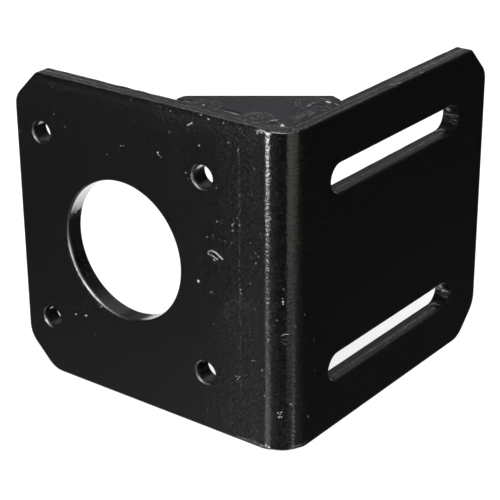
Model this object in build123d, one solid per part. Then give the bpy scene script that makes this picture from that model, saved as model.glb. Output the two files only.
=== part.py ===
from build123d import *
import os

# Motor mounting bracket: one folded steel sheet with a motor plate and a slotted plate at
# right angles, and a triangular gusset fused into the corner at each end of the fold.
# Millimetres. Origin: centre of the pilot bore, on the motor plate's outer face.
# +X runs along the motor plate towards the fold, +Y from the motor plate's outer face into
# the corner, +Z up along the fold.

# ---- driving dimensions ----
sheet_t = 3.0            # sheet thickness
height = 49.7            # width of the strip, along the fold
motor_leg = 51.3         # motor plate, free edge to the slotted plate's outer face
slot_leg = 52.6          # slotted plate, free edge to the motor plate's outer face
bend_inner_r = 1.3       # inside radius of the fold
bend_outer_r = bend_inner_r + sheet_t
bore_to_face = 30.6      # pilot bore axis to the slotted plate's outer face
edge_r = 0.37            # rounding of the cut edges

corner_cut = 4.56        # leg of the two upper corner cuts
low_cut_motor = 5.0      # leg of the motor plate's lower corner cut
low_cut_slot = 4.8       # leg of the slotted plate's lower corner cut
cut_side_r = 3.2         # rounding where an upper corner cut meets the free edge
cut_end_r = 1.2          # rounding where an upper corner cut meets the strip's long edge
low_side_r = 4.2         # the same two roundings at the lower corners
low_end_r = 4.0

pilot_r = 11.05          # bore for a 22 mm motor pilot
pilot_break = 0.25       # edge break of the bore
screw_pitch = 31.0       # motor screw square
screw_r = 1.75           # clearance hole for an M3 screw
screw_break = 0.2        # edge break of a screw hole

slot_w = 4.5             # slot width, for an M4 screw
slot_len = 34.5          # slot length, end to end
slot_mid_y = 27.4        # slot centre from the motor plate's outer face
slot_pitch = 30.0        # distance between the two slots
slot_edge_r = 0.3        # rounding of the slot rims

gusset_t = 3.0           # gusset thickness
gusset_x = 19.35         # gusset run along the motor plate
gusset_y = 14.7          # gusset run along the slotted plate
gusset_toe = 2.0         # straight toe beside the motor plate
gusset_tip = 2.0         # width of the tip beside the slotted plate
gusset_relief = 1.6      # corner cut that clears the inside of the fold
gusset_edge_r = 0.5      # rounding of the gusset's edges
gusset_corner_r = 1.5    # rounding of the gusset's two far corners

weld_depth = 1.2         # depth of a weld spot below the plate edge
weld_rise = 0.25         # crown of a weld spot above the upper plate edge
# weld spots: x, y, radius
weld_spots = [
    (13.9, 3.2, 2.2),
    (22.5, 3.3, 2.3),
    (27.9, 2.8, 1.6),
    (26.4, 12.0, 2.6),
]

x_out = bore_to_face                 # slotted plate's outer face
x_in = bore_to_face - sheet_t        # slotted plate's inner face
x_free = bore_to_face - motor_leg    # motor plate's free edge
z_top, z_bot = height / 2, -height / 2
bend_x = x_out - bend_outer_r        # centre line of the fold
bend_y = bend_outer_r


def round_corners(face, table):
    """Rounds the corners of a flat face: table holds (point, radius)."""
    for point, radius in table:
        corner = face.vertices().sort_by_distance(point)[0]
        face = face.fillet_2d(radius, [corner])
    return face


# ---- folded bracket ----
# motor plate, flat part
c, low = corner_cut, low_cut_motor
motor_pts = [
    (bend_x, 0, z_bot),
    (bend_x, 0, z_top),
    (x_free + c, 0, z_top),
    (x_free, 0, z_top - c),
    (x_free, 0, z_bot + low),
    (x_free + low, 0, z_bot),
]
motor_face = make_face(Polyline(*motor_pts, close=True).edges()).face()
motor_face = round_corners(
    motor_face,
    [
        (motor_pts[2], cut_end_r),
        (motor_pts[3], cut_side_r),
        (motor_pts[4], low_side_r),
        (motor_pts[5], low_end_r),
    ],
)
motor_plate = extrude(motor_face, amount=sheet_t, dir=(0, 1, 0))

# slotted plate, flat part
low = low_cut_slot
slot_pts = [
    (x_out, bend_y, z_bot),
    (x_out, slot_leg - low, z_bot),
    (x_out, slot_leg, z_bot + low),
    (x_out, slot_leg, z_top - c),
    (x_out, slot_leg - c, z_top),
    (x_out, bend_y, z_top),
]
slot_face = make_face(Polyline(*slot_pts, close=True).edges()).face()
slot_face = round_corners(
    slot_face,
    [
        (slot_pts[1], low_end_r),
        (slot_pts[2], low_side_r),
        (slot_pts[3], cut_side_r),
        (slot_pts[4], cut_end_r),
    ],
)
slot_plate = extrude(slot_face, amount=sheet_t, dir=(-1, 0, 0))

# the fold: a quarter ring between the two plates
fold = Pos(bend_x, bend_y, 0) * (
    Cylinder(bend_outer_r, height) - Cylinder(bend_inner_r, height)
)
fold = fold & Pos(bend_x + bend_outer_r / 2, bend_y - bend_outer_r / 2, 0) * Box(
    bend_outer_r, bend_outer_r, height
)
sheet = (motor_plate + fold + slot_plate).clean()

# rounding of the cut outline, on both faces of the sheet
def is_outline(e):
    """An edge between a sheet face and the cut edge all round the strip."""
    p, q = e.position_at(0), e.position_at(1)
    m = e.position_at(0.5)
    along_fold = abs(p.X - q.X) < 1e-6 and abs(p.Y - q.Y) < 1e-6
    at_free_end = abs(m.X - x_free) < 1e-6 or abs(m.Y - slot_leg) < 1e-6
    across = e.geom_type == GeomType.LINE and e.length - sheet_t > -1e-6 and abs(
        e.length - sheet_t
    ) < 1e-6
    if across:
        return False
    if along_fold and not at_free_end:
        return False
    return True


sheet = fillet([e for e in sheet.edges() if is_outline(e)], edge_r)

# slots
for s in (-1, 1):
    bar = Pos(x_out - sheet_t / 2, slot_mid_y, s * slot_pitch / 2) * Box(
        3 * sheet_t, slot_len - slot_w, slot_w
    )
    ends = [
        Pos(x_out - sheet_t / 2, slot_mid_y + e * (slot_len - slot_w) / 2, s * slot_pitch / 2)
        * Rot(0, 90, 0)
        * Cylinder(slot_w / 2, 3 * sheet_t)
        for e in (-1, 1)
    ]
    sheet = sheet - (bar + ends[0] + ends[1])

rims = []
for e in sheet.edges():
    b = e.bounding_box()
    flat = b.size.X < 1e-4
    inside = (
        b.min.Y > slot_mid_y - slot_len / 2 - 0.01
        and b.max.Y < slot_mid_y + slot_len / 2 + 0.01
    )
    near = any(
        abs((b.min.Z + b.max.Z) / 2 - s * slot_pitch / 2) < slot_w / 2 + 0.01 for s in (-1, 1)
    )
    if flat and inside and near:
        rims.append(e)
sheet = fillet(rims, slot_edge_r)


# pilot bore and motor screw holes, with broken edges
def hole(x, z, r, brk):
    lie = Pos(x, sheet_t / 2, z) * Rot(-90, 0, 0)
    tool = lie * Cylinder(r, 3 * sheet_t)
    for s in (-1, 1):
        y = sheet_t / 2 + s * sheet_t / 2
        # each cone is widest outside the sheet, so that its rim lies on the sheet's face
        cone = Cone(r, r + 2 * brk, 2 * brk)
        turn = Rot(-90, 0, 0) if s > 0 else Rot(90, 0, 0)
        tool = tool + Pos(x, y, z) * turn * cone
    return tool


sheet = sheet - hole(0, 0, pilot_r, pilot_break)
for sx in (-1, 1):
    for sz in (-1, 1):
        sheet = sheet - hole(sx * screw_pitch / 2, sz * screw_pitch / 2, screw_r, screw_break)

# ---- gusset ----
gx0 = x_in - gusset_x
gy1 = sheet_t + gusset_y
gusset_pts = [
    (x_in - gusset_relief, sheet_t, 0),
    (gx0, sheet_t, 0),
    (gx0, sheet_t + gusset_toe, 0),
    (x_in - gusset_tip, gy1, 0),
    (x_in, gy1 - 0.92, 0),
    (x_in, sheet_t + gusset_relief, 0),
]
gusset_face = make_face(Polyline(*gusset_pts, close=True).edges()).face()
gusset_face = round_corners(
    gusset_face, [(gusset_pts[2], gusset_corner_r), (gusset_pts[3], gusset_corner_r / 2)]
)
gusset = extrude(gusset_face, amount=gusset_t, dir=(0, 0, 1))
flat_edges = [e for e in gusset.edges() if e.bounding_box().size.Z < 1e-6]
gusset = fillet(flat_edges, gusset_edge_r)
top_gusset = Pos(0, 0, z_top - gusset_t) * gusset
bottom_gusset = Pos(0, 0, z_bot) * gusset


# ---- weld spots ----
def nugget(x, y, r, rise):
    """A weld spot: a round slug let into the sheet and the gusset, with a low crown."""
    crown_r = (r * r + rise * rise) / (2 * rise)
    body = Pos(0, 0, (1 - weld_depth) / 2) * Cylinder(r, 1 + weld_depth)
    return Pos(x, y, z_top) * (body & Pos(0, 0, rise - crown_r) * Sphere(crown_r))


def slug(x, y, r):
    return Pos(x, y, z_top - weld_depth + 2.0) * Cylinder(r, 4.0)


top_welds, bottom_welds = [], []
for x, y, r in weld_spots:
    cut = slug(x, y, r)
    low_cut = cut.mirror(Plane.XY)
    top_gusset = top_gusset - cut
    bottom_gusset = bottom_gusset - low_cut
    sheet = sheet - cut - low_cut
    top_welds.append(nugget(x, y, r, weld_rise))
    # the lower spots are dressed flush, so that the bracket stands on its cut edge
    bottom_welds.append(Pos(x, y, z_bot + weld_depth / 2) * Cylinder(r, weld_depth))


def one_solid(shape):
    solids = shape.solids()
    assert len(solids) == 1, len(solids)
    return solids[0]


parts = {
    "folded_bracket": one_solid(sheet),
    "top_gusset": one_solid(top_gusset),
    "bottom_gusset": one_solid(bottom_gusset),
    "top_weld_spots": Compound(children=[one_solid(w) for w in top_welds]),
    "bottom_weld_spots": Compound(children=[one_solid(w) for w in bottom_welds]),
}

os.makedirs("parts", exist_ok=True)
for name, shape in parts.items():
    export_step(shape, f"parts/{name}.step")
    print(name, len(shape.solids()), round(shape.volume, 1))
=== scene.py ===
import math

import bpy
import numpy as np
from mathutils import Matrix, Vector, geometry


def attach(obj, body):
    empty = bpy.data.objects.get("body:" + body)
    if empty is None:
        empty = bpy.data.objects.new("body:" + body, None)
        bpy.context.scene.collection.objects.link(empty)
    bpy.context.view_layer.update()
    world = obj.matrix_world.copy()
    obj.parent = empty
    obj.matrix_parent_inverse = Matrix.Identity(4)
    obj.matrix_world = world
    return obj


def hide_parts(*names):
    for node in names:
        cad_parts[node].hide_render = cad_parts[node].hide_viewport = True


# Motor mounting bracket: a folded black-painted sheet with two welded corner gussets.
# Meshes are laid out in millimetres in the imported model's frame and written in metres.

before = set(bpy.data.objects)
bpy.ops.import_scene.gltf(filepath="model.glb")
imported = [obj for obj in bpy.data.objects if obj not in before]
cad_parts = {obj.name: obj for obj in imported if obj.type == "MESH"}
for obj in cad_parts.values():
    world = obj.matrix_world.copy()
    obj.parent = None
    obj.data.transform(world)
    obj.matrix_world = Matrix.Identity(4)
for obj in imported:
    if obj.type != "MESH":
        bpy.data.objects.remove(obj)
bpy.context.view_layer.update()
MM = 0.001

# ---- sizes, as the CAD has them ----
T = 3.0
Z_TOP, Z_BOT = 24.85, -24.85
X_OUT, X_IN, X_FREE = 30.6, 27.6, -20.7
BEND_X, BEND_Y, BEND_R = 26.3, 4.3, 4.3
BEND_L = BEND_R * math.pi / 2
U_BEND, U_FLAT2 = BEND_X, BEND_X + BEND_L
U_END = U_FLAT2 + 52.6 - BEND_Y
CUT, CUT_LOW_MOTOR, CUT_LOW_SLOT = 4.56, 5.0, 4.8


# ---- small numeric helpers ----
def lattice(ix, iy, seed):
    """Repeatable value from 0 to 1 for each whole-number pair."""
    n = (ix.astype(np.int64) * 374761393 + iy.astype(np.int64) * 668265263 + seed * 974634777) & 0xFFFFFFFF
    n = ((n ^ (n >> 13)) * 1274126177) & 0xFFFFFFFF
    n = (n ^ (n >> 16)) & 0xFFFFFF
    return n / float(0xFFFFFF)


def noise2(x, y, seed=0):
    """Smooth value noise, about -1 to 1."""
    x, y = np.broadcast_arrays(np.asarray(x, float), np.asarray(y, float))
    ix, iy = np.floor(x), np.floor(y)
    fx, fy = x - ix, y - iy
    fx = fx * fx * fx * (fx * (fx * 6 - 15) + 10)
    fy = fy * fy * fy * (fy * (fy * 6 - 15) + 10)
    a, b = lattice(ix, iy, seed), lattice(ix + 1, iy, seed)
    c, d = lattice(ix, iy + 1, seed), lattice(ix + 1, iy + 1, seed)
    return 2 * ((a * (1 - fx) + b * fx) * (1 - fy) + (c * (1 - fx) + d * fx) * fy) - 1


def fbm(x, y, seed=0, octaves=3):
    out, amp, tot = 0.0, 1.0, 0.0
    for k in range(octaves):
        out = out + amp * noise2(x * 2**k, y * 2**k, seed + 17 * k)
        tot += amp
        amp *= 0.5
    return out / tot


def smooth(x, a, b):
    t = np.clip((x - a) / (b - a), 0, 1)
    return t * t * (3 - 2 * t)


def bump_at(u, v, cu, cv, r, h, stretch=1.0, turn=0.0):
    """A soft mound of height h and radius r."""
    c, s = math.cos(turn), math.sin(turn)
    du, dv = u - cu, v - cv
    a, b = (du * c + dv * s) / stretch, -du * s + dv * c
    return h * np.exp(-(a * a + b * b) / (r * r))


def stroke_at(u, v, pts, r, h):
    """A raised or sunken line through pts."""
    best = np.full(np.shape(u), 1e9)
    for (a0, b0), (a1, b1) in zip(pts[:-1], pts[1:]):
        da, db = a1 - a0, b1 - b0
        t = np.clip(((u - a0) * da + (v - b0) * db) / (da * da + db * db), 0, 1)
        d2 = (u - a0 - t * da) ** 2 + (v - b0 - t * db) ** 2
        best = np.minimum(best, d2)
    return h * np.exp(-best / (r * r))


# ---- outlines ----
def polygon_loop(points, radii, step=0.32, curve=0.11, fine=None):
    """A closed outline with rounded corners, material on its left.
    Returns points, normals into the material and running length."""
    P, N = [], []
    n = len(points)
    cut = []
    for i in range(n):
        a, b, c = (np.array(points[(i + k) % n], float) for k in (-1, 0, 1))
        d0, d1 = (b - a) / np.linalg.norm(b - a), (c - b) / np.linalg.norm(c - b)
        turn = math.atan2(d0[0] * d1[1] - d0[1] * d1[0], float(d0 @ d1))
        cut.append(radii[i] * math.tan(abs(turn) / 2))
    for i in range(n):
        a, b, c = (np.array(points[(i + k) % n], float) for k in (-1, 0, 1))
        d0, d1 = (b - a) / np.linalg.norm(b - a), (c - b) / np.linalg.norm(c - b)
        n0, n1 = np.array([-d0[1], d0[0]]), np.array([-d1[1], d1[0]])
        start, end = b - d0 * cut[i], b + d1 * cut[i]
        turn = math.atan2(d0[0] * d1[1] - d0[1] * d1[0], float(d0 @ d1))
        r = radii[i]
        if r > 0:
            centre = start + n0 * r * (1 if turn > 0 else -1)
            k = max(3, int(math.ceil(abs(turn) / curve)))
            for j in range(k + 1):
                ang = turn * j / k
                nn = np.array([n0[0] * math.cos(ang) - n0[1] * math.sin(ang), n0[0] * math.sin(ang) + n0[1] * math.cos(ang)])
                P.append(centre - nn * r * (1 if turn > 0 else -1))
                N.append(nn)
        else:
            P.append(b)
            N.append((n0 + n1) / np.linalg.norm(n0 + n1))
        nxt = np.array(points[(i + 1) % n], float) - d1 * cut[(i + 1) % n]
        length = float((nxt - end) @ d1)
        k = max(1, int(round(length / step)))
        for j in range(1, k if radii[(i + 1) % n] > 0 or i < n else k):
            P.append(end + d1 * length * j / k)
            N.append(n1)
    return finish_loop(P, N)


def finish_loop(P, N):
    P, N = np.array(P), np.array(N)
    seg = np.linalg.norm(np.roll(P, -1, 0) - P, axis=1)
    s = np.concatenate([[0], np.cumsum(seg)[:-1]])
    return {"p": P, "n": N, "s": s, "len": float(seg.sum())}


def circle_loop(cx, cy, r, k):
    """A round hole, run clockwise."""
    a = -np.arange(k) * 2 * math.pi / k
    d = np.stack([np.cos(a), np.sin(a)], 1)
    return finish_loop(np.array([cx, cy]) + d * r, d)


def slot_loop(c_u, c_v, length, width, step=0.3, k=36):
    """A slot that runs along u, run clockwise."""
    r, h = width / 2, (length - width) / 2
    P, N = [], []
    for sgn, base in ((1, math.pi / 2), (-1, -math.pi / 2)):
        for j in range(k + 1):
            a = base - math.pi * j / k
            d = np.array([math.cos(a), math.sin(a)])
            P.append(np.array([c_u + sgn * h, c_v]) + d * r)
            N.append(d)
        m = int(round(2 * h / step))
        for j in range(1, m):
            P.append(np.array([c_u + sgn * h - sgn * 2 * h * j / m, c_v - sgn * r]))
            N.append(np.array([0.0, -sgn]))
    return finish_loop(P, N)


def inside(poly, q):
    """Which of the points q lie in the closed polygon."""
    x, y = q[:, 0], q[:, 1]
    hit = np.zeros(len(q), bool)
    x0, y0 = poly[:, 0], poly[:, 1]
    x1, y1 = np.roll(x0, -1), np.roll(y0, -1)
    for a0, b0, a1, b1 in zip(x0, y0, x1, y1):
        if b0 == b1:
            continue
        cross = ((b0 > y) != (b1 > y)) & (x < (a1 - a0) * (y - b0) / (b1 - b0) + a0)
        hit ^= cross
    return hit


# ---- plates with rounded edges ----
def profile(r_out, r_in, t, rows, k=6):
    """Across the cut edge from the outer face to the inner one: inset, depth, outward part and facewise part of the normal."""
    out = []
    for j in range(k + 1):
        a = math.pi / 2 * j / k
        out.append((r_out * (1 - math.sin(a)), r_out * (1 - math.cos(a)), math.sin(a), math.cos(a)))
    for j in range(1, rows):
        out.append((0.0, r_out + (t - r_out - r_in) * j / rows, 1.0, 0.0))
    for j in range(k, -1, -1):
        a = math.pi / 2 * j / k
        out.append((r_in * (1 - math.sin(a)), t - r_in * (1 - math.cos(a)), math.sin(a), -math.cos(a)))
    return np.array(out)


def make_plate(name, loops, t, place, grid, rise_out, rise_in, rise_wall, rows=9, mark=None, grid_in=None):
    """A plate t thick bounded by loops, the first of which is its outline. place(u, v, w) puts a flat point at depth w where it belongs
    and gives the directions of u, of v and out of the outer face. The rises are heights in mm off the outer face, the inner face and the cut edges."""
    V, NV, ATT, tris = [], [], [], []
    count = 0
    rims = {0: [], 1: []}
    for li, L in enumerate(loops):
        prof = profile(L["r"], L["r"], t, rows)
        n, m = len(L["p"]), len(prof)
        inset, depth = (np.repeat(prof[:, i][None, :], n, 0) for i in range(2))
        nx, nw = (prof[:, i][None, :] for i in range(2, 4))
        if "r_out" in L:  # the outer rounding changes along the loop
            q, r = L["r_out"][:, None], L["r"]
            inset[:, :7] *= q / r
            depth[:, :7] *= q / r
            depth[:, 7 : 6 + rows] = q + (depth[:, 7 : 6 + rows] - r) * (t - r - q) / (t - 2 * r)
        pu = L["p"][:, 0][:, None] + L["n"][:, 0][:, None] * inset
        pv = L["p"][:, 1][:, None] + L["n"][:, 1][:, None] * inset
        w = np.broadcast_to(depth, pu.shape)
        s = np.broadcast_to(L["s"][:, None], pu.shape)
        wall = np.broadcast_to(nx, pu.shape) ** 2
        e = 0.03
        ou, ov = -L["n"][:, 0][:, None], -L["n"][:, 1][:, None]
        # running direction: material on the left
        tu, tv = L["n"][:, 1][:, None], -L["n"][:, 0][:, None]
        lift = lambda ds, dw: rise_wall(li, s + ds, w + dw, pu + tu * ds, pv + tv * ds) * wall
        h = lift(0, 0)
        hs = (lift(e, 0) - lift(-e, 0)) / (2 * e)
        hw = (lift(0, e) - lift(0, -e)) / (2 * e)
        pos, DU, DV, DN = place(pu + ou * h, pv + ov * h, w)
        nu = ou * nx - tu * hs
        nv = ov * nx - tv * hs
        nn = nw + hw * nx
        N = DU * nu[..., None] + DV * nv[..., None] + DN * nn[..., None]
        V.append(pos.reshape(-1, 3))
        NV.append(N.reshape(-1, 3))
        ATT.append(np.stack([s, w, wall, np.full(s.shape, float(li)), pu, pv], -1).reshape(-1, 6))
        idx = count + np.arange(n * m).reshape(n, m)
        nxt = np.roll(idx, -1, 0)
        a, b, c, d = idx[:, :-1], nxt[:, :-1], nxt[:, 1:], idx[:, 1:]
        tris.append(np.stack([a, b, c, a, c, d], -1).reshape(-1, 3))
        rims[0].append(idx[:, 0])
        rims[1].append(idx[:, -1])
        L["ring"] = np.stack([pu[:, 0], pv[:, 0]], 1)
        count += n * m

    flat = [L["ring"] for L in loops]
    ring = np.concatenate(flat)
    edges, k = [], 0
    for f in flat:
        n = len(f)
        edges += [(k + i, k + (i + 1) % n) for i in range(n)]
        k += n

    def fill(grid):
        """The grid's points on the plate, clear of the rims, and the triangles over the rims' points and these."""
        keep = inside(flat[0], grid)
        for f in flat[1:]:
            keep &= ~inside(f, grid)
        g = grid[keep]
        near = np.zeros(len(g), bool)
        for f in flat:
            for q in np.array_split(f, max(1, len(f) // 64)):
                d = np.min((g[:, None, 0] - q[None, :, 0]) ** 2 + (g[:, None, 1] - q[None, :, 1]) ** 2, 1)
                near |= d < 0.13**2
        g = g[~near]
        pts = np.concatenate([ring, g])
        res = geometry.delaunay_2d_cdt([Vector(p) for p in pts.tolist()], edges, [], 0, 1e-7, True)
        if len(res[0]) != len(pts) or any(len(o) != 1 or o[0] != i for i, o in enumerate(res[3])):
            raise RuntimeError(name + ": the triangulation merged points")
        f = np.array([t3 for t3 in res[2]])
        cen = pts[f].mean(1)
        ok = inside(flat[0], cen)
        for h in flat[1:]:
            ok &= ~inside(h, cen)
        return g, f[ok]

    filled = fill(grid)
    for side, rise in ((0, rise_out), (1, rise_in)):
        g, f = filled if side == 0 or grid_in is None else fill(grid_in)
        rim = np.concatenate(rims[side])
        w = np.full(len(g), 0.0 if side == 0 else t)
        e = 0.02
        gu, gv = g[:, 0], g[:, 1]
        h = rise(gu, gv)
        hu = (rise(gu + e, gv) - rise(gu - e, gv)) / (2 * e)
        hv = (rise(gu, gv + e) - rise(gu, gv - e)) / (2 * e)
        pos, DU, DV, DN = place(gu, gv, w)
        sgn = 1 if side == 0 else -1
        pos = pos + DN * (sgn * h)[:, None]
        N = DN * sgn - DU * hu[:, None] - DV * hv[:, None]
        V.append(pos)
        NV.append(N)
        ATT.append(np.stack([gu, w, np.zeros(len(g)), np.full(len(g), -1.0), gu, gv], -1))
        look = np.concatenate([rim, count + np.arange(len(g))])
        tris.append(look[f])
        count += len(g)
        # the rim takes the face's rise gradient too
        ru, rv = ring[:, 0], ring[:, 1]
        hu = (rise(ru + e, rv) - rise(ru - e, rv)) / (2 * e)
        hv = (rise(ru, rv + e) - rise(ru, rv - e)) / (2 * e)
        start = 0
        for li, ids in enumerate(rims[side]):
            n = len(ids)
            q = slice(start, start + n)
            _, DU, DV, DN = place(ru[q], rv[q], np.full(n, 0.0 if side == 0 else t))
            base = sum(len(x) for x in V[:li])
            NV[li][ids - base] += -DU * hu[q][:, None] - DV * hv[q][:, None]
            start += n
    V, NV, ATT, F = np.concatenate(V), np.concatenate(NV), np.concatenate(ATT), np.concatenate(tris)
    return write_mesh(name, V, F, NV, ATT, mark)


def write_mesh(name, V, F, NV, ATT=None, mark=None):
    """One mesh object in metres from points in mm, with its own normals. Faces are turned to agree with them."""
    NV = NV / np.maximum(np.linalg.norm(NV, axis=1, keepdims=True), 1e-12)
    g = np.cross(V[F[:, 1]] - V[F[:, 0]], V[F[:, 2]] - V[F[:, 0]])
    area = np.linalg.norm(g, axis=1)
    F, g = F[area > 1e-9], g[area > 1e-9]
    turn = np.einsum("ij,ij->i", g, NV[F].sum(1)) < 0
    F[turn] = F[turn][:, ::-1]
    mesh = bpy.data.meshes.new(name)
    mesh.from_pydata((V * MM).tolist(), [], F.tolist())
    mesh.update()
    mesh.polygons.foreach_set("use_smooth", np.ones(len(F), bool))
    if ATT is not None:
        run = mesh.attributes.new("run", "FLOAT_VECTOR", "POINT")
        run.data.foreach_set("vector", np.ascontiguousarray(ATT[:, [0, 1, 3]], np.float32).ravel())
        cut = mesh.attributes.new("cut_edge", "FLOAT", "POINT")
        cut.data.foreach_set("value", np.ascontiguousarray(ATT[:, 2], np.float32))
        if mark is not None:
            # pale specks, scratches and chips, with painted highlights and painted glints, as one point attribute
            pale = mesh.attributes.new("speck", "FLOAT", "POINT")
            look = np.where(ATT[:, 1] < 0.32, mark(ATT[:, 4], ATT[:, 5], 1), 0.0)
            if mark is marks:
                look = look + wall_marks_and_glints(ATT[:, [4, 5, 1]]) * ATT[:, 2]
            pale.data.foreach_set("value", np.ascontiguousarray(np.clip(look, 0, 1), np.float32))
        dev = mesh.attributes.new("flat_uv", "FLOAT_VECTOR", "POINT")
        dev.data.foreach_set("vector", np.ascontiguousarray(np.column_stack([ATT[:, 4], ATT[:, 5], ATT[:, 1]]), np.float32).ravel())
    mesh.normals_split_custom_set_from_vertices(NV.tolist())
    obj = bpy.data.objects.new(name, mesh)
    bpy.context.scene.collection.objects.link(obj)
    return obj


def hex_grid(u0, u1, v0, v1, step):
    rows = int((v1 - v0) / (step * 0.866)) + 1
    out = []
    for j in range(rows):
        v = v0 + j * step * 0.866
        u = np.arange(u0 + (j % 2) * step / 2, u1, step)
        out.append(np.stack([u, np.full(len(u), v)], 1))
    return np.concatenate(out)


def disc_grid(cu, cv, r, step):
    g = hex_grid(cu - r, cu + r, cv - r, cv + r, step)
    return g[((g[:, 0] - cu) ** 2 + (g[:, 1] - cv) ** 2) < r * r]


# ---- the folded sheet ----
def place_sheet(u, v, w):
    u, v, w = np.broadcast_arrays(np.asarray(u, float), np.asarray(v, float), np.asarray(w, float))
    th = np.clip((u - U_BEND) / BEND_L, 0, 1) * math.pi / 2
    s, c = np.sin(th), np.cos(th)
    r = BEND_R - w
    before, after = np.minimum(u - U_BEND, 0), np.maximum(u - U_FLAT2, 0)
    x = BEND_X + s * r + before
    y = BEND_Y - c * r + after
    pos = np.stack([x, y, v], -1)
    zero, one = np.zeros_like(x), np.ones_like(x)
    return pos, np.stack([c, s, zero], -1), np.stack([zero, zero, one], -1), np.stack([s, -c, zero], -1)


outline = polygon_loop(
    [
        (X_FREE + CUT_LOW_MOTOR, Z_BOT),
        (U_END - CUT_LOW_SLOT, Z_BOT),
        (U_END, Z_BOT + CUT_LOW_SLOT),
        (U_END, Z_TOP - CUT),
        (U_END - CUT, Z_TOP),
        (X_FREE + CUT, Z_TOP),
        (X_FREE, Z_TOP - CUT),
        (X_FREE, Z_BOT + CUT_LOW_MOTOR),
    ],
    [4.0, 4.0, 4.2, 3.2, 1.2, 1.2, 3.2, 4.2],
)
drawn = (outline["p"][:, 1] < Z_BOT + 1e-6) * smooth(outline["p"][:, 0], 25.5, 28.0) * smooth(-outline["p"][:, 0], -33.5, -31.0)
outline["p"][:, 1] += 0.27 * drawn
outline["r"] = 0.37
sheet_loops = [outline]
pilot = circle_loop(0, 0, 11.05, 220)
pilot["r"] = 0.27
sheet_loops.append(pilot)
for sx, sz in ((-1, 1), (1, 1), (-1, -1), (1, -1)):
    L = circle_loop(15.5 * sx, 15.5 * sz, 1.75 if sx > 0 else 1.70, 64)
    L["r"] = 0.30
    sheet_loops.append(L)
for sz in (1, -1):
    L = slot_loop(U_FLAT2 + 27.4 - BEND_Y, 15.0 * sz, 34.5, 4.5)
    L["r"] = 0.3
    L["r_out"] = 0.34 - 0.29 * smooth(L["p"][:, 0], 70.4, 71.6)
    sheet_loops.append(L)

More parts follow.
